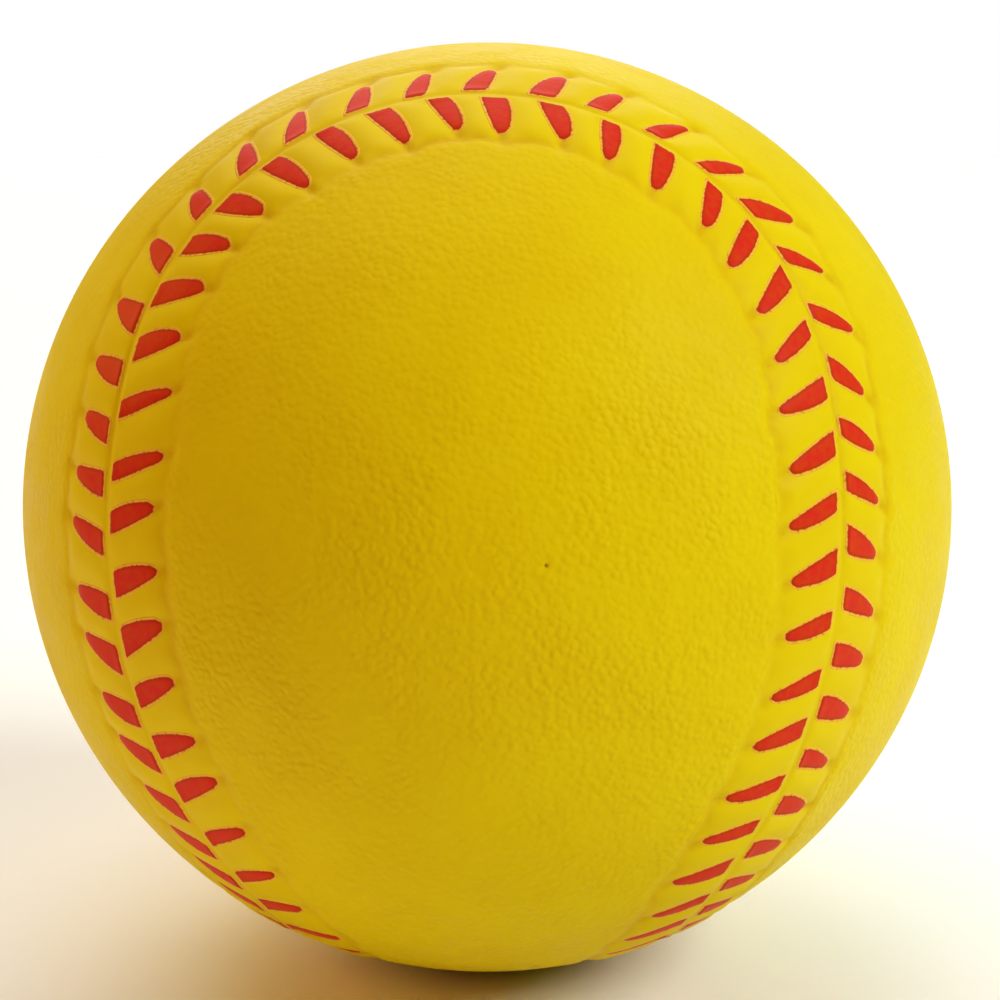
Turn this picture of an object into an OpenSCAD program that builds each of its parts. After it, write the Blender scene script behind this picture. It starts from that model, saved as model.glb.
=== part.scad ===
// Squeeze ball for a desk: one moulding of soft polyurethane foam, painted as a stitched sports ball.
// The origin is the centre of the ball, and the seam repeats every half turn about +Z.
// The seam has four lobes, and it splits the skin into a lower and an upper panel.
// A lobe is an arc of a small circle, and a great-circle run crosses the equator to the next lobe.

/* [Ball] */
// Outside diameter of the ball
ball_d = 63; // [50:1:100]
// Thickness of the dense skin that forms against the mould
skin_t = 1.5; // [0.8:0.1:3]

/* [Seam] */
// Elevation of the centre of the front lobe
lobe_elevation = 26.4; // [22:0.2:34]
// Angular radius of each lobe, seen from the centre of the ball
lobe_radius = 44; // [38:0.5:46]
// Radius of the round tool that the groove along the seam follows
groove_r = 0.25; // [0.2:0.05:0.4]
// Depth of the groove
groove_depth = 0.12; // [0.05:0.01:0.18]

/* [Stitches] */
// Number of painted stitches in each of the two rows
stitch_count = 96; // [60:4:120]
// Thickness of the paint
paint_t = 0.12; // [0.08:0.02:0.3]
// Width of a stitch at its near end, beside the seam
stitch_w = 1.6; // [1:0.1:2]
// Distance from the middle of the seam to the near end of a stitch
stitch_gap = 0.55; // [0.5:0.05:1]
// Distance from the middle of the seam to the far end of a lower panel stitch
lower_reach = 4.7; // [3.5:0.1:6]
// Distance from the middle of the seam to the far end of an upper panel stitch
upper_reach = 4.2; // [3.5:0.1:6]
// Radius of the far end of a stitch
tip_r = 0.35; // [0.2:0.05:0.5]
// Distance by which the far end leans forward along the seam
stitch_lean = 1.15; // [0.5:0.05:2]
// Distance by which one long side of a stitch bows out
stitch_belly = 0.2; // [0:0.05:0.3]
// Distance by which the lower row is set back along the seam
lower_lag = 0.9; // [0:0.05:1.2]
// Distance by which the upper row is set back along the seam
upper_lag = 2.1; // [1.2:0.05:3]

/* [Hidden] */

ball_r = ball_d / 2;
core_r = ball_r - skin_t;
lobe_count = 4;
stitches_per_lobe = stitch_count / lobe_count;
ball_facets = 180;
groove_facets = 24;
tip_facets = 32;
// The outline of a stitch is cut this far above and below the surface
cut_depth = 2;
// The groove's tool runs with its centre this far from the centre of the ball
groove_track = ball_r + groove_r - groove_depth;
// The tool around a lobe reaches this far into the tool along a run, which is thicker by the step
groove_overlap = 0.3;
groove_step = 0.01;

// Right-angled spherical triangle of the lobe's centre, the equator crossing and the end of the lobe
crossing_distance = acos(cos(lobe_elevation) * cos(45));
crossing_bearing = 180 - atan(1 / sin(lobe_elevation));
lobe_half_sweep = crossing_bearing - acos(tan(lobe_radius) / tan(crossing_distance));
run_half_sweep = acos(cos(crossing_distance) / cos(lobe_radius));

// Travel along the seam from the top of a lobe, in degrees seen from the centre of the ball
lobe_half_travel = lobe_half_sweep * sin(lobe_radius);
stitch_pitch = 2 * (lobe_half_travel + run_half_sweep) / stitches_per_lobe;
function travel_of(length) = length / ball_r * 180 / PI;

// Turns the front lobe onto each lobe: the ones in front and behind rise, the ones at the sides dip
module lobe_place(lobe) {
    dips = lobe % 2;
    rotate([180 * dips, 0, 90 * lobe - 180 * dips])
        children();
}

// Puts +Z on the centre of the front lobe
module lobe_axis() {
    rotate([90 - lobe_elevation, 0, 0])
        children();
}

// Carries children from the top of the ball to the front lobe's stretch of seam, with +X along it
module on_front_lobe(travel) {
    arc = max(-lobe_half_travel, min(lobe_half_travel, travel));
    lobe_axis()
        rotate([0, 0, -arc / sin(lobe_radius)])
            rotate([-lobe_radius, 0, 0])
                rotate([0, travel - arc, 0])
                    children();
}

// The same on any lobe, with +X forward all round the seam and +Y on the upper panel's side
module on_seam(lobe, travel) {
    dips = lobe % 2;
    lobe_place(lobe)
        on_front_lobe((1 - 2 * dips) * travel)
            rotate([0, 0, 180 * dips])
                children();
}

// The groove's tool around one lobe, with its ends inside the tools along the runs
module lobe_groove() {
    half_sweep = lobe_half_sweep + travel_of(groove_overlap) / sin(lobe_radius);
    lobe_axis()
        rotate([0, 0, 90 - half_sweep])
            rotate_extrude(angle = 2 * half_sweep, $fn = ball_facets)
                translate([groove_track * sin(lobe_radius), groove_track * cos(lobe_radius)])
                    circle(r = groove_r, $fn = groove_facets);
}

// The groove's tool along the run that follows a lobe
module run_groove() {
    rotate([-90, -90, 0])
        rotate_extrude(angle = 2 * run_half_sweep, $fn = ball_facets)
            translate([groove_track, 0])
                circle(r = groove_r + groove_step, $fn = groove_facets);
}

// Outline of a stitch: flat beside the seam, bowed on one long side and round at its far end
module stitch_outline(reach) {
    tip_y = reach - tip_r;
    bow_x = (stitch_lean - tip_r - stitch_w / 2) / 2 - stitch_belly;
    polygon([
        [-stitch_w / 2, stitch_gap],
        [stitch_w / 2, stitch_gap],
        [stitch_lean + tip_r, tip_y],
        [stitch_lean - tip_r, tip_y],
        [bow_x, (stitch_gap + tip_y) / 2]
    ]);
    translate([stitch_lean, tip_y])
        circle(r = tip_r, $fn = tip_facets);
}

// One stitch of paint that hugs the skin, at the top of the ball
module stitch(reach) {
    intersection() {
        difference() {
            sphere(r = ball_r + paint_t, $fn = ball_facets);
            sphere(r = ball_r, $fn = ball_facets);
        }
        translate([0, 0, ball_r - cut_depth])
            linear_extrude(2 * cut_depth)
                stitch_outline(reach);
    }
}

// Puts children at every stitch's place along the seam
module stitch_row(lag) {
    for (lobe = [0 : lobe_count - 1])
        for (i = [0 : stitches_per_lobe - 1])
            on_seam(lobe, (i + 0.5 - stitches_per_lobe / 2) * stitch_pitch - travel_of(lag))
                children();
}

// Soft inside of the moulding, where the foam's cells are open
module foam_core() {
    color("khaki")
        sphere(r = core_r, $fn = ball_facets);
}

// Closed outer skin of the moulding, with the groove that stands for the joint of the panels
module moulded_skin() {
    color("gold")
        difference() {
            sphere(r = ball_r, $fn = ball_facets);
            sphere(r = core_r, $fn = ball_facets);
            for (lobe = [0 : lobe_count - 1]) {
                lobe_place(lobe)
                    lobe_groove();
                on_seam(lobe, lobe_half_travel)
                    run_groove();
            }
        }
}

// Row of painted stitches on the panel in front, below and behind
module lower_panel_stitches() {
    color("crimson")
        stitch_row(lower_lag)
            mirror([0, 1, 0])
                stitch(lower_reach);
}

// Row of painted stitches on the panel at the sides and on top
module upper_panel_stitches() {
    color("crimson")
        stitch_row(upper_lag)
            stitch(upper_reach);
}

foam_core();
moulded_skin();
lower_panel_stitches();
upper_panel_stitches();
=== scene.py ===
import math

import bmesh
import bpy
import numpy as np
from mathutils import Matrix, Vector
from mathutils.geometry import delaunay_2d_cdt


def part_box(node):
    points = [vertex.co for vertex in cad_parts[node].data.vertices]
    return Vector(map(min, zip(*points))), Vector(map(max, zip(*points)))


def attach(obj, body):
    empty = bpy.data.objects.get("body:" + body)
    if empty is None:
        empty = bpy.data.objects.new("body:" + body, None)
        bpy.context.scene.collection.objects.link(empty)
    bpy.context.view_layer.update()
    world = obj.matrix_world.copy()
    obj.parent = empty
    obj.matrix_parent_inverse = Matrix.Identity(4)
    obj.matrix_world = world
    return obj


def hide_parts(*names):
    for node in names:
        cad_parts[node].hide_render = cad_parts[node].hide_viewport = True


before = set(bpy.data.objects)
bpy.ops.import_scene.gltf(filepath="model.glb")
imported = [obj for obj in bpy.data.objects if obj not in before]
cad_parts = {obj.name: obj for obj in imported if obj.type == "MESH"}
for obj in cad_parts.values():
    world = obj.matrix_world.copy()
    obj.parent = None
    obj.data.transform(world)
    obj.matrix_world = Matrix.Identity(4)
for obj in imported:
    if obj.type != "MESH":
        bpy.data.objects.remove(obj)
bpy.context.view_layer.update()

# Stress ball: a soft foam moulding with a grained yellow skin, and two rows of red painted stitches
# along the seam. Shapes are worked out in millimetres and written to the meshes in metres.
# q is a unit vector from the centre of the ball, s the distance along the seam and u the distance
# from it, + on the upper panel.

MM = 0.001
BALL_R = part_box("moulded_skin")[1][2] / MM
CORE_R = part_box("foam_core")[1][2] / MM
rng = np.random.default_rng(63)

# ---------------------------------------------------------------- camera

# The view of the ball: turned a little about its own axis, then seen from above the equator
VIEW_YAW = -2.34
VIEW_PITCH = 15.2
VIEW_ROLL = -0.4
# Distance of the camera from the centre, in radii of the ball
VIEW_DISTANCE = 6.48
LENS = 107.06
SENSOR = 36
CLIP = (0.01, 20)
# The ball stands slightly to the left of the view's middle and below it
AIM_RIGHT = 0.239
AIM_UP = 0.133


def turn(degrees, axis):
    return Matrix.Rotation(math.radians(degrees), 3, axis)


def make_camera():
    view = (turn(VIEW_ROLL, "Y") @ turn(VIEW_PITCH, "X") @ turn(VIEW_YAW, "Z")).transposed()
    aim = turn(-AIM_RIGHT, "Y") @ turn(AIM_UP, "X")
    axes = Matrix((view.col[0], view.col[2], -view.col[1])).transposed() @ aim
    place = view.col[1] * -VIEW_DISTANCE * BALL_R * MM
    data = bpy.data.cameras.new("camera")
    data.lens = LENS
    data.sensor_width = SENSOR
    data.clip_start, data.clip_end = CLIP
    camera = bpy.data.objects.new("camera", data)
    camera.matrix_world = Matrix.Translation(place) @ axes.to_4x4()
    bpy.context.scene.collection.objects.link(camera)
    bpy.context.scene.camera = camera


make_camera()

# ---------------------------------------------------------------- seam

# The seam of the CAD model, in degrees seen from the centre of the ball. Each of its lobes is an
# arc of a small circle, and a great-circle run leads to the next one.
LOBES = 4
LOBE_ELEVATION = 26.4
LOBE_RADIUS = 44.0

rad, deg = np.radians, np.degrees
CROSSING = deg(np.arccos(np.cos(rad(LOBE_ELEVATION)) * np.cos(rad(45))))
BEARING = 180 - deg(np.arctan(1 / np.sin(rad(LOBE_ELEVATION))))
LOBE_SWEEP = BEARING - deg(np.arccos(np.tan(rad(LOBE_RADIUS)) / np.tan(rad(CROSSING))))
RUN_HALF = deg(np.arccos(np.cos(rad(CROSSING)) / np.cos(rad(LOBE_RADIUS))))
LOBE_HALF = LOBE_SWEEP * np.sin(rad(LOBE_RADIUS))
LOBE_SPAN = 2 * (LOBE_HALF + RUN_HALF)
MM_PER_DEGREE = BALL_R * math.pi / 180
LOBE_LENGTH = LOBE_SPAN * MM_PER_DEGREE
SEAM_LENGTH = LOBES * LOBE_LENGTH


def spin(axis, degrees):
    """Rotation matrices about a coordinate axis, one for each angle."""
    a = rad(np.atleast_1d(np.asarray(degrees, float)))
    m = np.zeros((len(a), 3, 3))
    i, j = [(1, 2), (2, 0), (0, 1)][axis]
    m[:, axis, axis] = 1
    m[:, i, i] = m[:, j, j] = np.cos(a)
    m[:, i, j] = -np.sin(a)
    m[:, j, i] = np.sin(a)
    return m


def lobe_turn(lobe):
    """Turns the front lobe onto each lobe: the ones at the sides dip."""
    dips = lobe % 2
    return spin(2, 90 * lobe - 180 * dips) @ spin(0, 180 * dips)


def seam_frames(s):
    """Frames along the seam, whose columns point forward, to the upper panel and outward."""
    s = np.atleast_1d(np.asarray(s, float)) % SEAM_LENGTH
    lobe = np.floor(s / LOBE_LENGTH).astype(int)
    dips = lobe % 2
    travel = (1 - 2 * dips) * (s / MM_PER_DEGREE - (lobe + 0.5) * LOBE_SPAN)
    arc = np.clip(travel, -LOBE_HALF, LOBE_HALF)
    to_axis = lobe_turn(lobe) @ spin(0, np.full(len(s), 90 - LOBE_ELEVATION))
    round_axis = spin(2, -arc / np.sin(rad(LOBE_RADIUS))) @ spin(0, np.full(len(s), -LOBE_RADIUS))
    return to_axis @ round_axis @ spin(1, travel - arc) @ spin(2, 180 * dips)


def seam_place(q):
    """Each point's s and u, from the arc or run that is nearest."""
    best_s = np.zeros(len(q))
    best_u = np.full(len(q), 1e9)

    def take_nearer(s, u, allowed):
        use = allowed & (np.abs(u) < np.abs(best_u))
        best_u[use] = u[use]
        best_s[use] = s[use] * MM_PER_DEGREE

    for lobe in range(LOBES):
        sign = 1 - 2 * (lobe % 2)
        tip = (lobe + 0.5) * LOBE_SPAN
        p = q @ (lobe_turn(np.array([lobe])) @ spin(0, 90 - LOBE_ELEVATION))[0]
        along = deg(np.arctan2(p[:, 0], p[:, 1])) * np.sin(rad(LOBE_RADIUS))
        across = deg(np.arccos(np.clip(p[:, 2], -1, 1))) - LOBE_RADIUS
        take_nearer(tip + sign * along, sign * across * MM_PER_DEGREE, np.abs(along) <= LOBE_HALF)
        middle = tip + LOBE_HALF + RUN_HALF
        p = q @ seam_frames(middle * MM_PER_DEGREE)[0]
        along = deg(np.arctan2(p[:, 0], p[:, 2]))
        across = deg(np.arcsin(np.clip(p[:, 1], -1, 1)))
        take_nearer(middle + along, across * MM_PER_DEGREE, np.abs(along) <= RUN_HALF)
    return best_s % SEAM_LENGTH, best_u


# ---------------------------------------------------------------- stitches, as painted by hand

STITCHES = 96
PITCH = SEAM_LENGTH / STITCHES
# Average sizes of the stitches in each row. The lag sets a row back along the seam.
LAG = {"lower": 0.9, "upper": 2.1}
REACH = {"lower": 4.45, "upper": 4.05}
LEAN = {"lower": 1.15, "upper": 1.12}
NEAR_W = {"lower": 1.6, "upper": 1.76}
NEAR_GAP = {"lower": 0.4, "upper": 0.28}
# How far the back and front sides of a stitch bow out
BOW = {"lower": (0.1, 0.28), "upper": (0.32, 0.1)}
TIP_R = {"lower": 0.4, "upper": 0.34}
# Length of the rounded end, in tip radii
TIP_STRETCH = {"lower": 1.5, "upper": 2.0}
# Differences between neighbours. The one of the width is a share of it.
SPREAD = {"s": 0.14, "reach": 0.22, "lean": 0.2, "width": 0.12, "gap": 0.07, "bow": 0.05,
          "tip": 0.04}
# The painting mask drifts along each lobe, and skews the stitches most about one place on the front
DRIFT = 0.42
DRIFT_AT = 17
SKEW = 0.55
SKEW_TOWARD = (0.6, -0.55, 0.58)
SKEW_SPAN = 0.2
# It sits closer at the right of the ball, where the stitches are shorter, and they are wider at
# both sides than in the middle. The width's factor is a polynomial of the place from left to right.
REACH_SLOPE = -0.12
WIDTH_FACTOR = (0.25, -0.12, 0.85)


def hand_row(side):
    """Seeded places and sizes of the stitches in one row."""
    def vary(key):
        spread = SPREAD[key]
        return np.clip(rng.normal(0, spread, STITCHES), -2 * spread, 2 * spread)

    k = np.arange(STITCHES)
    drift = DRIFT * np.cos(2 * math.pi * LOBES * (k - DRIFT_AT) / STITCHES)
    s = (k + 0.5) * PITCH - LAG[side] + drift
    place = seam_frames(s)[:, :, 2]
    x = place[:, 0]
    skew = 1 + SKEW * np.clip((place @ SKEW_TOWARD - (1 - SKEW_SPAN)) / SKEW_SPAN, 0, 1)
    return {
        "s": s + vary("s"),
        "reach": REACH[side] + REACH_SLOPE * x + vary("reach"),
        "lean": LEAN[side] * skew + vary("lean"),
        "width": NEAR_W[side] * np.polyval(WIDTH_FACTOR, x) * (1 + vary("width")),
        "gap": NEAR_GAP[side] + vary("gap"),
        "back": BOW[side][0] + vary("bow"),
        "front": BOW[side][1] + vary("bow"),
        "tip": TIP_R[side] + vary("tip"),
    }


ROWS = {side: hand_row(side) for side in ("lower", "upper")}

# ---------------------------------------------------------------- relief of the skin

# Groove of the seam and the raised lips beside it
GROOVE_DEPTH = 0.06
GROOVE_HALF = 0.25
LIP = 0.025
LIP_AT = 0.48
LIP_HALF = 0.26
# Band of the stitches: it stands proud, and bulges between them. The spans are distances from the
# seam where a shape starts, and from the stitches' reach where it ends.
BAND_SWELL = 0.05
SWELL_END = (-1.2, 0.9)
BULGE = 0.22
BULGE_START = (0.25, 1.1)
BULGE_END = (-0.5, 0.7)
# Needle holes beyond the tips
DIMPLE = 0.21
DIMPLE_R = 0.45
DIMPLE_BEYOND = 0.42
DIMPLE_STRETCH = 1.25
# Broken valley along the edge of a panel, scalloped between the needle holes
VALLEY = 0.12
VALLEY_HALF = 0.38
VALLEY_AT = 0.95
SCALLOP = 0.3
VALLEY_LEAST = 0.3
EDGE_ROLL = 0.015
EDGE_ROLL_AT = 0.9
EDGE_ROLL_HALF = 0.7
# Slow lumps all over the ball
LUMP = 0.09
LUMP_WAVES = 14
LUMP_PITCH = 2.6
# How much of the groove is left where it is worn, from place to place
GROOVE_WORN = (0.2, 1)
GROOVE_WORN_MEAN = 0.6
EDGE_WAVES = 10
EDGE_PITCH = 7
# The material's masks: where the smooth band ends, from the valley, and how wide and strong the
# painted shade in the valley and the groove is
BAND_FADE = (-0.1, 0.5)
VALLEY_SHADE_HALF = 0.33
GROOVE_SHADE = 0.6
# Distance from the seam at which the search for a point's nearest stitches starts
SEARCH_GAP = 0.55


def seeded_waves(count, pitch):
    """Directions with wave numbers, and phases, of a smooth noise on the ball."""
    return rng.normal(0, 1, (count, 3)) * pitch, rng.uniform(0, 2 * math.pi, count)


lump_waves, lump_phase = seeded_waves(LUMP_WAVES, LUMP_PITCH)
edge_waves, edge_phase = seeded_waves(EDGE_WAVES, EDGE_PITCH)


def smooth(x, lo, hi):
    t = np.clip((x - lo) / (hi - lo), 0, 1)
    return t * t * (3 - 2 * t)


def bell(x, width):
    return np.exp(-(x / width) ** 2)


def wavy(q, waves, phase):
    """The noise of seeded_waves at unit vectors."""
    return np.sin(q @ waves.T + phase).mean(axis=1)


def row_phase(s, v, row):
    """Each point's distances to the stitches before and after it, and their numbers."""
    slope = row["lean"] / (row["reach"] - row["gap"])
    first = np.floor((s - row["s"][0] - slope.mean() * (v - SEARCH_GAP)) / PITCH).astype(int)
    before = np.full(len(s), 1e9)
    after = np.full(len(s), 1e9)
    k_before = np.zeros(len(s), int)
    k_after = np.zeros(len(s), int)
    for step in (-1, 0, 1, 2):
        k = first + step
        wrap = np.floor(k / STITCHES) * SEAM_LENGTH
        k = k % STITCHES
        d = s - wrap - row["s"][k] - slope[k] * (v - row["gap"][k])
        use = (d >= 0) & (d < before)
        before[use] = d[use]
        k_before[use] = k[use]
        use = (d < 0) & (-d < after)
        after[use] = -d[use]
        k_after[use] = k[use]
    return before, after, k_before, k_after


def row_relief(q, s, v, row):
    """Height, band mask and the mask of painted shade in the needle holes and the valley, on one
    side of the seam.
    """
    before, after, kb, ka = row_phase(s, v, row)
    phase = before / (before + after)
    reach = row["reach"][kb] * (1 - phase) + row["reach"][ka] * phase
    between = np.sin(math.pi * phase) ** 2
    edge = reach + VALLEY_AT - SCALLOP * between
    broken = np.clip(0.5 + wavy(q, edge_waves, edge_phase), VALLEY_LEAST, 1)
    hole = np.zeros(len(s))
    for d, k in ((before, kb), (after, ka)):
        out = v - row["reach"][k] - DIMPLE_BEYOND
        hole = np.maximum(hole, bell(np.hypot(d, out / DIMPLE_STRETCH), DIMPLE_R))
    ends = 1 - smooth(v, reach + BULGE_END[0], reach + BULGE_END[1])
    h = BULGE * (between - 0.5) * smooth(v, *BULGE_START) * ends
    h += BAND_SWELL * (1 - smooth(v, reach + SWELL_END[0], reach + SWELL_END[1]))
    h -= DIMPLE * hole
    h -= VALLEY * broken * bell(v - edge, VALLEY_HALF)
    h += EDGE_ROLL * bell(v - edge - EDGE_ROLL_AT, EDGE_ROLL_HALF)
    band = 1 - smooth(v, edge + BAND_FADE[0], edge + BAND_FADE[1])
    # The last mask is painted shade: the needle holes and the valley beside the panel's edge
    return h, band, np.maximum(hole, broken * bell(v - edge, VALLEY_SHADE_HALF))


def relief(q):
    """Height of the skin over the ball, with the masks of the band and of the painted shade in the
    dents.
    """
    s, u = seam_place(q)
    v = np.abs(u)
    h, band, dent_shade = np.zeros((3, len(q)))
    for side, row in ROWS.items():
        here = (u < 0) if side == "lower" else (u >= 0)
        h[here], band[here], dent_shade[here] = row_relief(q[here], s[here], v[here], row)
    # The groove is deeper in some places than in others
    worn = np.clip(GROOVE_WORN_MEAN + wavy(q, edge_waves[::-1], edge_phase), *GROOVE_WORN)
    groove = worn * bell(v, GROOVE_HALF)
    h += LIP * bell(v - LIP_AT, LIP_HALF) - (GROOVE_DEPTH + BAND_SWELL * 0.5) * groove
    h += LUMP * wavy(q, lump_waves, lump_phase)
    # The groove's painted shade joins the mask of painted shade in the dents
    return h, band, np.maximum(dent_shade, GROOVE_SHADE * groove)


# ---------------------------------------------------------------- meshes

def new_piece(name, verts, faces, material, floats=None):
    """A smooth piece from points in millimetres, with point attributes for its material."""
    mesh = bpy.data.meshes.new(name)
    mesh.from_pydata((np.asarray(verts) * MM).tolist(), [], faces)
    for key, values in (floats or {}).items():
        attribute = mesh.attributes.new(key, "FLOAT", "POINT")
        attribute.data.foreach_set("value", np.asarray(values, np.float32))
    mesh.polygons.foreach_set("use_smooth", np.ones(len(mesh.polygons), bool))
    mesh.materials.append(material)
    mesh.validate()
    mesh.update()
    piece = bpy.data.objects.new(name, mesh)
    bpy.context.scene.collection.objects.link(piece)
    return piece


def icosphere(level):
    """Unit vectors and triangles of an icosphere."""
    bm = bmesh.new()
    bmesh.ops.create_icosphere(bm, subdivisions=level, radius=1.0)
    bm.verts.ensure_lookup_table()
    q = np.array([v.co[:] for v in bm.verts])
    faces = [tuple(v.index for v in f.verts) for f in bm.faces]
    bm.free()
    return q / np.linalg.norm(q, axis=1)[:, None], faces


def lattice(spacing):
    """Evenly spread unit vectors over the whole ball."""
    n = int(4 * math.pi * BALL_R ** 2 / (0.866 * spacing ** 2))
    i = np.arange(n) + 0.5
    z = 1 - 2 * i / n
    a = math.pi * (1 + 5 ** 0.5) * i
    r = np.sqrt(1 - z * z)
    return np.stack([r * np.cos(a), r * np.sin(a), z], axis=1)


def ring_about(q, radius, count):
    """Unit vectors in a small circle about one."""
    side = np.cross(q, [0.3, 0.5, 0.8])
    side /= np.linalg.norm(side)
    other = np.cross(q, side)
    a = np.arange(count) * 2 * math.pi / count
    p = q + radius / BALL_R * (np.cos(a)[:, None] * side + np.sin(a)[:, None] * other)
    return p / np.linalg.norm(p, axis=1)[:, None]


# ---------------------------------------------------------------- skin

# A regular grid follows the seam as far as the band's edge, and triangles fill the panels
COLUMNS_PER_STITCH = 14
BAND_EDGE = 6.6
NEAR_ROWS = [0.0, 0.07, 0.14, 0.22, 0.32, 0.45, 0.62, 0.82]
FAR_ROWS = 21
PANEL_SPACING = 0.85
CORE_LEVEL = 5
# Pinholes of trapped air, with rings of points about each one as radius and number of points
PINHOLES = 24
PINHOLE_R = 0.12
PINHOLE_DEPTH = 0.16
PINHOLE_CLEARANCE = 1.2
PINHOLE_ROOM = 0.75
PINHOLE_APART = 0.99
PINHOLE_RINGS = ((PINHOLE_R * 0.5, 6), (PINHOLE_R, 10), (PINHOLE_R * 1.7, 12), (0.5, 12))


def seam_rows():
    """Distances of the grid's rows from the seam, closest together in the groove."""
    far = np.linspace(NEAR_ROWS[-1], BAND_EDGE, FAR_ROWS + 1)[1:]
    half = np.concatenate([NEAR_ROWS, far])
    return np.concatenate([-half[:0:-1], half])


def make_pinholes():
    """Seeded places in the panels, clear of the band and of each other."""
    holes = []
    while len(holes) < PINHOLES:
        q = rng.normal(0, 1, 3)
        q /= np.linalg.norm(q)
        in_panel = abs(seam_place(q[None])[1][0]) > BAND_EDGE + PINHOLE_CLEARANCE
        if in_panel and all(q @ other < PINHOLE_APART for other in holes):
            holes.append(q)
    return holes


def panel_triangles(ring_q, panel, holes):
    """Fills a panel inside its ring of points: the panel's own points and its triangles."""
    sign = 1 if panel == "upper" else -1
    q = lattice(PANEL_SPACING)
    q = q[seam_place(q)[1] * sign > BAND_EDGE + PANEL_SPACING * 0.55]
    extra = []
    for p in holes:
        if seam_place(p[None])[1][0] * sign > 0:
            q = q[q @ p < math.cos(PINHOLE_ROOM / BALL_R)]
            extra.append(p[None])
            extra += [ring_about(p, r, n) for r, n in PINHOLE_RINGS]
    q = np.concatenate([q] + extra)
    every = np.concatenate([ring_q, q])
    # Stereographic map from the pole in the middle of the other panel: the Delaunay triangles are
    # the same on the ball
    flat = every[:, :2] / (1 + sign * every[:, 2])[:, None]
    n = len(ring_q)
    edges = [(i, (i + 1) % n) for i in range(n)]
    out = delaunay_2d_cdt([Vector(p) for p in flat], edges, [list(range(n))], 1, 1e-7)
    assert len(out[0]) == len(every), "two points of a panel fell together"
    origin = [o[0] for o in out[3]]
    return q, [tuple(origin[i] for i in f) for f in out[2]]


def facing_out(verts, faces):
    """The same faces, turned so that each looks away from the centre."""
    a, b, c = (verts[[f[i] for f in faces]] for i in range(3))
    inward = (np.cross(b - a, c - a) * a).sum(axis=1) < 0
    return [f[::-1] if flip else f for f, flip in zip(faces, inward)]


def make_skin(material):
    columns = STITCHES * COLUMNS_PER_STITCH
    frames = seam_frames(np.arange(columns) * SEAM_LENGTH / columns)[:, None]
    rows = seam_rows()
    angle = (rows / BALL_R)[None, :, None]
    grid = frames[..., 1] * np.sin(angle) + frames[..., 2] * np.cos(angle)
    q = grid.reshape(-1, 3)
    count = len(rows)
    faces = []
    for i in range(columns):
        a, b = i * count, (i + 1) % columns * count
        faces += [(a + j, b + j, b + j + 1, a + j + 1) for j in range(count - 1)]
    holes = make_pinholes()
    for panel, j in (("lower", 0), ("upper", count - 1)):
        ring = np.arange(columns) * count + j
        own, triangles = panel_triangles(q[ring], panel, holes)
        number = np.concatenate([ring, len(q) + np.arange(len(own))]).tolist()
        faces += [tuple(number[i] for i in f) for f in triangles]
        q = np.concatenate([q, own])
    h, band, dent_shade = relief(q)
    pit = np.zeros(len(q))
    for p in holes:
        d = np.arccos(np.clip(q @ p, -1, 1)) * BALL_R
        pit = np.maximum(pit, 1 - smooth(d, PINHOLE_R * 0.35, PINHOLE_R * 1.3))
    verts = q * (BALL_R + h - PINHOLE_DEPTH * pit)[:, None]
    faces = facing_out(verts, faces)
    # The inner face, where the dense skin meets the open foam
    core_q, core_faces = icosphere(CORE_LEVEL)
    faces += [tuple(i + len(verts) for i in f[::-1]) for f in core_faces]
    verts = np.concatenate([verts, core_q * CORE_R])
    # The dent mask places painted shade in the needle holes, the valleys and the groove
    masks = {"band": band, "dent_shade": dent_shade, "pit": pit}
    floats = {key: np.concatenate([mask, np.zeros(len(core_q))]) for key, mask in masks.items()}
    return new_piece("ball_skin", verts, faces, material, floats)


# ---------------------------------------------------------------- paint

# Distances from a stitch's edges at which its paint is sampled
INSETS = np.array([0, 0.05, 0.1, 0.17, 0.27, 0.4])
# Rows along the straight part of a stitch, and angles at which its rounded end is sampled
BODY_START = 0.55
BODY_ROWS = 9
CAP_ANGLES = [18, 36, 54, 70, 82, 88]
CAP_POWER = 1.9
# The paint's thin outermost film, through which the yellow shows as an orange line
FILM = 0.19
PAINT_EDGE = 0.02
PAINT_EDGE_RISE = (-0.001, 0.05)
PAINT_DOME = 0.085
DOME_END = 0.5
# The deep red starts and ends at these distances from the edge
HEART = (0.13, 0.46)
# How far the paint reaches into the skin, so that no gap shows under its edge
PAINT_SINK = 0.05
BACK_CORNER = 0.16
FRONT_CORNER = 0.42


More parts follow.
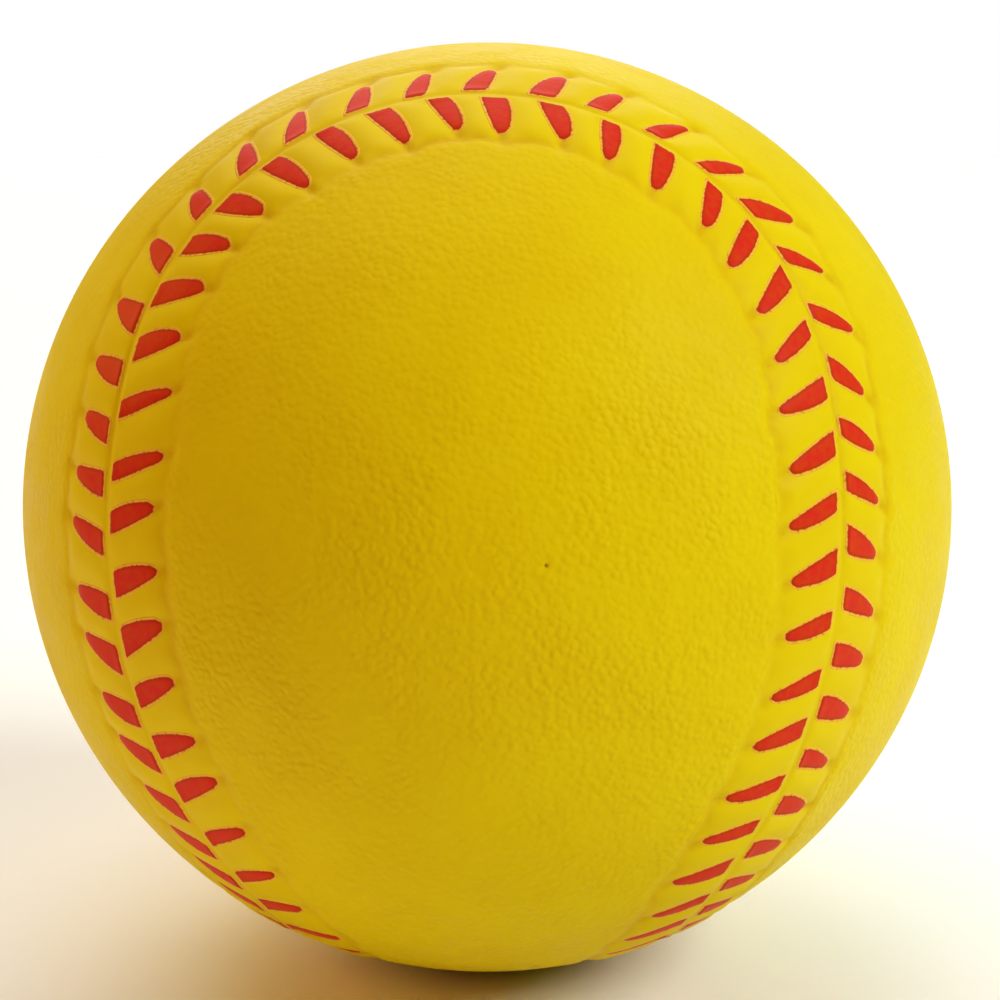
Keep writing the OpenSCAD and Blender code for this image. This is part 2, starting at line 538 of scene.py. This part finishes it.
def stitch_grid(row, k, stretch):
    """Points of one stitch in its own plane, in rows from the seam to the tip, and their room."""
    grow = FILM * 0.5
    gap, reach = row["gap"][k] - grow, row["reach"][k] + grow
    tip = row["tip"][k] + grow
    cap = stretch * tip
    y = np.concatenate([gap + INSETS, np.linspace(gap + BODY_START, reach - cap, BODY_ROWS),
                        reach - cap * (1 - np.sin(rad(CAP_ANGLES)))])
    t = (y - gap) / (reach - gap)
    end = np.clip((y - (reach - cap)) / cap, 0, 1)
    taper = (row["width"][k] / 2 + grow) * (1 - t) + tip * t
    middle = row["lean"][k] * (t - 0.5 * cap / (reach - gap) * end ** 2)
    arch = np.sin(math.pi * t ** 0.85)
    back = middle - taper - row["back"][k] * arch
    front = middle + taper + row["front"][k] * arch
    # Soft corners beside the seam and a round tip
    for edge, sign, r in ((front, -1, FRONT_CORNER), (back, 1, BACK_CORNER)):
        c = np.clip((y - gap) / r, 0, 1)
        edge += sign * r * (1 - np.sqrt(1 - (1 - c) ** 2))
    centre = (front + back) / 2
    half = (front - back) / 2 * np.sqrt(1 - end ** CAP_POWER)
    inset = INSETS * np.minimum(1, half / (INSETS[-1] * 1.25))[:, None]
    x = np.concatenate([(centre - half)[:, None] + inset, centre[:, None],
                        ((centre + half)[:, None] - inset)[:, ::-1]], axis=1)
    side_room = np.minimum(x - x[:, :1], x[:, -1:] - x)
    end_room = np.minimum(y - y[0], y[-1] - y)[:, None]
    return x, np.repeat(y[:, None], x.shape[1], axis=1), np.minimum(side_room, end_room)


def make_row(name, side, material):
    """One row of stitches, each of them a closed film with a domed top."""
    row = ROWS[side]
    sign = 1 if side == "upper" else -1
    frames = seam_frames(row["s"])
    points, tops, rims, hearts = [], [], [], []
    for k in range(STITCHES):
        x, y, room = stitch_grid(row, k, TIP_STRETCH[side])
        z = np.sqrt(BALL_R ** 2 - x ** 2 - y ** 2)
        q = np.stack([x, sign * y, z], axis=-1).reshape(-1, 3) @ frames[k].T
        points.append(q / np.linalg.norm(q, axis=1)[:, None])
        dome = PAINT_DOME * smooth(room, FILM * 0.6, DOME_END)
        tops.append((PAINT_EDGE * smooth(room, *PAINT_EDGE_RISE) + dome).ravel())
        rims.append(1 - smooth(room, FILM * 0.6, FILM * 1.5).ravel())
        hearts.append(smooth(room, *HEART).ravel())
    q = np.concatenate(points)
    skin_r = BALL_R + relief(q)[0]
    top = q * (skin_r + np.concatenate(tops))[:, None]
    bottom = q * (skin_r - PAINT_SINK)[:, None]
    under = len(q)
    grid = np.arange(x.size).reshape(x.shape)
    corners = [grid[:-1, :-1], grid[:-1, 1:], grid[1:, 1:], grid[1:, :-1]]
    quads = np.stack(corners, axis=-1).reshape(-1, 4)
    rim = np.concatenate([grid[0, :-1], grid[:-1, -1], grid[-1, :0:-1], grid[:0:-1, 0]])
    after = np.roll(rim, -1)
    walls = np.stack([rim, rim + under, after + under, after], axis=-1)
    faces = []
    for k in range(STITCHES):
        for block in (quads, quads[:, ::-1] + under, walls):
            f = block + k * x.size
            faces += (f if side == "upper" else f[:, ::-1]).tolist()
    floats = {"rim": np.concatenate(rims + [np.ones(under)]),
              "heart": np.concatenate(hearts + [np.zeros(under)])}
    return new_piece(name, np.concatenate([top, bottom]), faces, material, floats)


# ---------------------------------------------------------------- foam inside

FOAM_LEVEL = 6
FOAM_WAVES = 24
FOAM_PITCH = 38
FOAM_PIT = 0.25
FOAM_PIT_SPAN = (0.02, 0.25)
FOAM_CLEARANCE = 0.02


def make_core(material):
    """Open-cell foam inside: a round block whose surface is pitted by its cells."""
    q, faces = icosphere(FOAM_LEVEL)
    pit = FOAM_PIT * smooth(wavy(q, *seeded_waves(FOAM_WAVES, FOAM_PITCH)), *FOAM_PIT_SPAN)
    return new_piece("foam_inside", q * (CORE_R - FOAM_CLEARANCE - pit)[:, None], faces, material)


# ---------------------------------------------------------------- materials

class Nodes:
    """Short forms for building a node material."""

    def __init__(self, name):
        self.material = bpy.data.materials.new(name)
        self.material.use_nodes = True
        self.tree = self.material.node_tree
        self.shader = self.tree.nodes["Principled BSDF"]
        self.coords = self.add("ShaderNodeTexCoord").outputs["Object"]

    def add(self, kind, inputs=None, **settings):
        node = self.tree.nodes.new(kind)
        for key, value in settings.items():
            setattr(node, key, value)
        for key, value in (inputs or {}).items():
            self.put(value, node.inputs[key])
        return node

    def put(self, value, socket):
        if isinstance(value, bpy.types.NodeSocket):
            self.tree.links.new(value, socket)
        else:
            socket.default_value = value

    def noise(self, size_mm, detail=2.0, rough=0.5):
        inputs = {"Vector": self.coords, "Scale": 1 / (size_mm * MM), "Detail": detail,
                  "Roughness": rough}
        return self.add("ShaderNodeTexNoise", inputs).outputs["Fac"]

    def cells(self, size_mm, vector=None):
        inputs = {"Vector": vector or self.coords, "Scale": 1 / (size_mm * MM), "Smoothness": 0.5}
        return self.add("ShaderNodeTexVoronoi", inputs, feature="SMOOTH_F1").outputs["Distance"]

    def vector(self, operation, a, b):
        return self.add("ShaderNodeVectorMath", {0: a, 1: b}, operation=operation)

    def warped_coords(self, size_mm, amount_mm):
        """Object coordinates shifted about by slow noise."""
        inputs = {"Vector": self.coords, "Scale": 1 / (size_mm * MM), "Detail": 1.0}
        noise = self.add("ShaderNodeTexNoise", inputs).outputs["Color"]
        shift = self.vector("SUBTRACT", noise, (0.5, 0.5, 0.5)).outputs[0]
        inputs = {0: shift, "Scale": amount_mm * MM}
        scaled = self.add("ShaderNodeVectorMath", inputs, operation="SCALE").outputs[0]
        return self.vector("ADD", self.coords, scaled).outputs[0]

    def math(self, operation, a, b=0.0, clamp=False):
        node = self.add("ShaderNodeMath", operation=operation, use_clamp=clamp)
        self.put(a, node.inputs[0])
        self.put(b, node.inputs[1])
        return node.outputs[0]

    def span(self, value, lo, hi, to_lo=0.0, to_hi=1.0):
        """Maps lo..hi smoothly onto to_lo..to_hi."""
        inputs = {"Value": value, "From Min": lo, "From Max": hi, "To Min": to_lo, "To Max": to_hi}
        node = self.add("ShaderNodeMapRange", inputs, interpolation_type="SMOOTHSTEP")
        return node.outputs["Result"]

    def blend(self, factor, a, b):
        node = self.add("ShaderNodeMix", data_type="RGBA")
        for key, value in (("Factor_Float", factor), ("A_Color", a), ("B_Color", b)):
            self.put(value, next(i for i in node.inputs if i.identifier == key))
        return next(o for o in node.outputs if o.identifier == "Result_Color")

    def attribute(self, name):
        return self.add("ShaderNodeAttribute", attribute_name=name).outputs["Fac"]

    def bump(self, height, distance_mm, normal=None):
        inputs = {"Height": height, "Distance": distance_mm * MM}
        if normal:
            inputs["Normal"] = normal
        return self.add("ShaderNodeBump", inputs).outputs["Normal"]

    def finish(self, **values):
        for key, value in values.items():
            self.put(value, self.shader.inputs[key.replace("_", " ")])
        return self.material


YELLOW = (0.775, 0.58, 0.001, 1)
YELLOW_DEEP = (0.755, 0.545, 0.001, 1)
# Painted shade, orange-brown, between the pebbles and in the dents
YELLOW_PAINTED_SHADE = (0.66, 0.37, 0.001, 1)
# Painted shade, dark brown, inside the pinholes
PIT_SHADE = (0.24, 0.14, 0.01, 1)
RED = (0.67, 0.022, 0.01, 1)
RED_MOTTLE = (0.64, 0.044, 0.003, 1)
RED_EDGE = (0.43, 0.03, 0.0005, 1)
ORANGE = (0.86, 0.45, 0.04, 1)
FOAM = (0.8, 0.66, 0.2, 1)
# Painted shade, darker, in the low borders between the foam's cells
FOAM_CELL_SHADE = (0.5, 0.36, 0.06, 1)
FLOOR_COOL = (0.92, 0.93, 0.945, 1)
FLOOR_PALE = (0.94, 0.95, 0.965, 1)

# Pebbled grain of the panels: rounded cells, warped so that they don't line up. It fades towards
# the top of the ball, and is crisp about one place on the front panel.
GRAIN_CELL = 0.47
GRAIN_DEPTH = 0.07
# Strength of the painted shade between the pebbles
GRAIN_SHADE = 0.06
WARP_SIZE = 1.6
WARP = 0.3
FADE_FROM, FADE_TO = -2 * MM, 22 * MM
FADED = 0.5
CRISP_AT = (15 * MM, -25 * MM, 12 * MM)
CRISP_FROM, CRISP_TO = 4 * MM, 13 * MM
CRISP = 1.3


def grain(n, panel):
    """Height of the grain, and its strength from place to place."""
    cell = n.cells(GRAIN_CELL, n.warped_coords(WARP_SIZE, WARP))
    pebble = n.span(cell, 0.1, 0.85, 1.0, 0.0)
    patchy = n.span(n.noise(3.5), 0.3, 0.75, 0.55, 1.0)
    up = n.add("ShaderNodeSeparateXYZ", {0: n.coords}).outputs["Z"]
    away = n.vector("DISTANCE", n.coords, CRISP_AT).outputs["Value"]
    strength = n.math("MULTIPLY", panel, patchy)
    strength = n.math("MULTIPLY", strength, n.span(up, FADE_FROM, FADE_TO, 1.0, FADED))
    strength = n.math("MULTIPLY", strength, n.span(away, CRISP_FROM, CRISP_TO, CRISP, 1.0))
    return pebble, strength


def skin_material():
    n = Nodes("yellow_foam_skin")
    panel = n.math("SUBTRACT", 1.0, n.attribute("band"), clamp=True)
    pebble, strength = grain(n, panel)
    normal = n.bump(n.math("MULTIPLY", pebble, strength), GRAIN_DEPTH)
    normal = n.bump(n.noise(0.16, 3.0, 0.6), 0.008, normal)
    normal = n.bump(n.noise(1.9), 0.03, normal)
    # Cloudy pigment, with painted shade between the pebbles, in the dents and in the pinholes
    colour = n.blend(n.span(n.noise(7.0, 3.0), 0.3, 0.72), YELLOW, YELLOW_DEEP)
    # Painted shade: the grain's valleys between the pebbles darkened
    pebble_shade = n.math("MULTIPLY", strength, GRAIN_SHADE)
    between = n.math("MULTIPLY", n.span(pebble, 0.1, 0.6, 1.0, 0.0), pebble_shade)
    colour = n.blend(between, colour, YELLOW_PAINTED_SHADE)
    # Painted shade in the needle holes, the valleys beside the panels' edges and the seam's groove
    shade_in_dents = n.math("MULTIPLY", n.attribute("dent_shade"), n.span(n.noise(0.9), 0.3, 0.7, 0.45, 0.95))
    colour = n.blend(shade_in_dents, colour, YELLOW_PAINTED_SHADE)
    # Painted shade: the pinholes darkened brown
    colour = n.blend(n.math("MULTIPLY", n.attribute("pit"), 0.6), colour, PIT_SHADE)
    rough = n.span(n.noise(2.4), 0.3, 0.7, 0.42, 0.54)
    return n.finish(Base_Color=colour, Roughness=rough, Normal=normal, Specular_IOR_Level=0.035)


def paint_material():
    """Mottled red, deeper towards the edge, with a ragged orange film at the outline."""
    n = Nodes("red_stitch_paint")
    mottle = n.span(n.noise(0.5, 3.0), 0.32, 0.7)
    colour = n.blend(mottle, RED, RED_MOTTLE)
    colour = n.blend(n.span(n.attribute("heart"), 0.0, 1.0, 1.0, 0.0), colour, RED_EDGE)
    wear = n.span(n.noise(0.25), 0.2, 0.8, 0.7, 1.3)
    ragged = n.math("MULTIPLY", n.attribute("rim"), wear, clamp=True)
    colour = n.blend(n.span(ragged, 0.45, 0.95), colour, ORANGE)
    normal = n.bump(n.noise(0.35, 3.0), 0.02)
    rough = n.span(mottle, 0.0, 1.0, 0.38, 0.5)
    return n.finish(Base_Color=colour, Roughness=rough, Normal=normal, Specular_IOR_Level=0.04)


def foam_material():
    n = Nodes("open_cell_foam")
    cell = n.cells(0.45)
    # Painted shade: darker towards the low borders of the cells
    colour = n.blend(n.span(cell, 0.25, 0.6), FOAM, FOAM_CELL_SHADE)
    return n.finish(Base_Color=colour, Roughness=0.9, Normal=n.bump(cell, -0.2))


def floor_material():
    n = Nodes("studio_floor")
    colour = n.blend(n.noise(40.0), FLOOR_COOL, FLOOR_PALE)
    return n.finish(Base_Color=colour, Roughness=0.85, Normal=n.bump(n.noise(6.0), 0.05))


# ---------------------------------------------------------------- pieces

skin = make_skin(skin_material())
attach(skin, "root")
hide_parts("moulded_skin")

paint = paint_material()
for node, side in (("lower_panel_stitches", "lower"), ("upper_panel_stitches", "upper")):
    row_piece = make_row(f"{side}_row_of_stitches", side, paint)
    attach(row_piece, "root")
    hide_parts(node)

core = make_core(foam_material())
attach(core, "root")
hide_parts("foam_core")

# ---------------------------------------------------------------- studio

FLOOR_R = 380.0
FLOOR_SIDES = 128
WHITE = (1, 1, 1, 1)
# Light of the room itself: its strength rises from the front to the back
ROOM_FROM, ROOM_TO = -0.3, 0.5
ROOM_LIGHT = 0.22
# Soft boxes that look at the ball. Azimuth 0 is the front and 90 the right, elevation is upward.
# Each row is name, azimuth, elevation, distance, size, power and colour.
LIGHTS = (
    ("key", 70, 36, 0.6, 0.32, 2.95, (0.92, 1, 0.95)),
    ("fill_left", -42, 30, 0.6, 0.3, 0.77, (1, 0.29, 0.15)),
    ("rim_left", -115, 20, 0.6, 0.3, 0.78, (1, 0.95, 0.1)),
    ("back_top", 186, 30, 0.9, 0.8, 3.2, (1, 1, 1)),
    ("over", -140, 72, 1.2, 1.2, 6.6, (1, 1, 1)),
)


def make_floor():
    """A round table top, small enough that all of it is lit."""
    a = np.arange(FLOOR_SIDES) * 2 * math.pi / FLOOR_SIDES
    under = np.full(FLOOR_SIDES, -BALL_R)
    verts = np.stack([FLOOR_R * np.cos(a), FLOOR_R * np.sin(a), under], axis=1)
    new_piece("floor", verts, [tuple(range(FLOOR_SIDES))], floor_material())


def area_light(name, azimuth, elevation, distance, size, power, colour):
    a, e = math.radians(azimuth), math.radians(elevation)
    toward = Vector((math.cos(e) * math.sin(a), -math.cos(e) * math.cos(a), math.sin(e)))
    data = bpy.data.lights.new(name, "AREA")
    data.shape = "DISK"
    data.size = size
    data.energy = power
    data.color = colour
    light = bpy.data.objects.new(name, data)
    light.location = toward * distance
    light.rotation_euler = toward.to_track_quat("Z", "Y").to_euler()
    bpy.context.scene.collection.objects.link(light)


def make_world():
    """White to the eye, and a dim light that is stronger behind the ball than in front of it."""
    world = bpy.data.worlds.new("studio")
    world.use_nodes = True
    tree = world.node_tree
    tree.nodes.clear()
    new, link = tree.nodes.new, tree.links.new

    def background():
        node = new("ShaderNodeBackground")
        node.inputs["Color"].default_value = WHITE
        return node

    split = new("ShaderNodeSeparateXYZ")
    link(new("ShaderNodeTexCoord").outputs["Generated"], split.inputs[0])
    ramp = new("ShaderNodeMapRange")
    ramp.interpolation_type = "SMOOTHSTEP"
    link(split.outputs["Y"], ramp.inputs["Value"])
    limits = {"From Min": ROOM_FROM, "From Max": ROOM_TO, "To Min": 0.0, "To Max": ROOM_LIGHT}
    for key, value in limits.items():
        ramp.inputs[key].default_value = value
    seen, lit = background(), background()
    link(ramp.outputs["Result"], lit.inputs["Strength"])
    mix = new("ShaderNodeMixShader")
    link(new("ShaderNodeLightPath").outputs["Is Camera Ray"], mix.inputs[0])
    link(lit.outputs[0], mix.inputs[1])
    link(seen.outputs[0], mix.inputs[2])
    link(mix.outputs[0], new("ShaderNodeOutputWorld").inputs["Surface"])
    bpy.context.scene.world = world


make_floor()
make_world()
for light in LIGHTS:
    area_light(*light)
bpy.context.scene.view_settings.view_transform = "Standard"
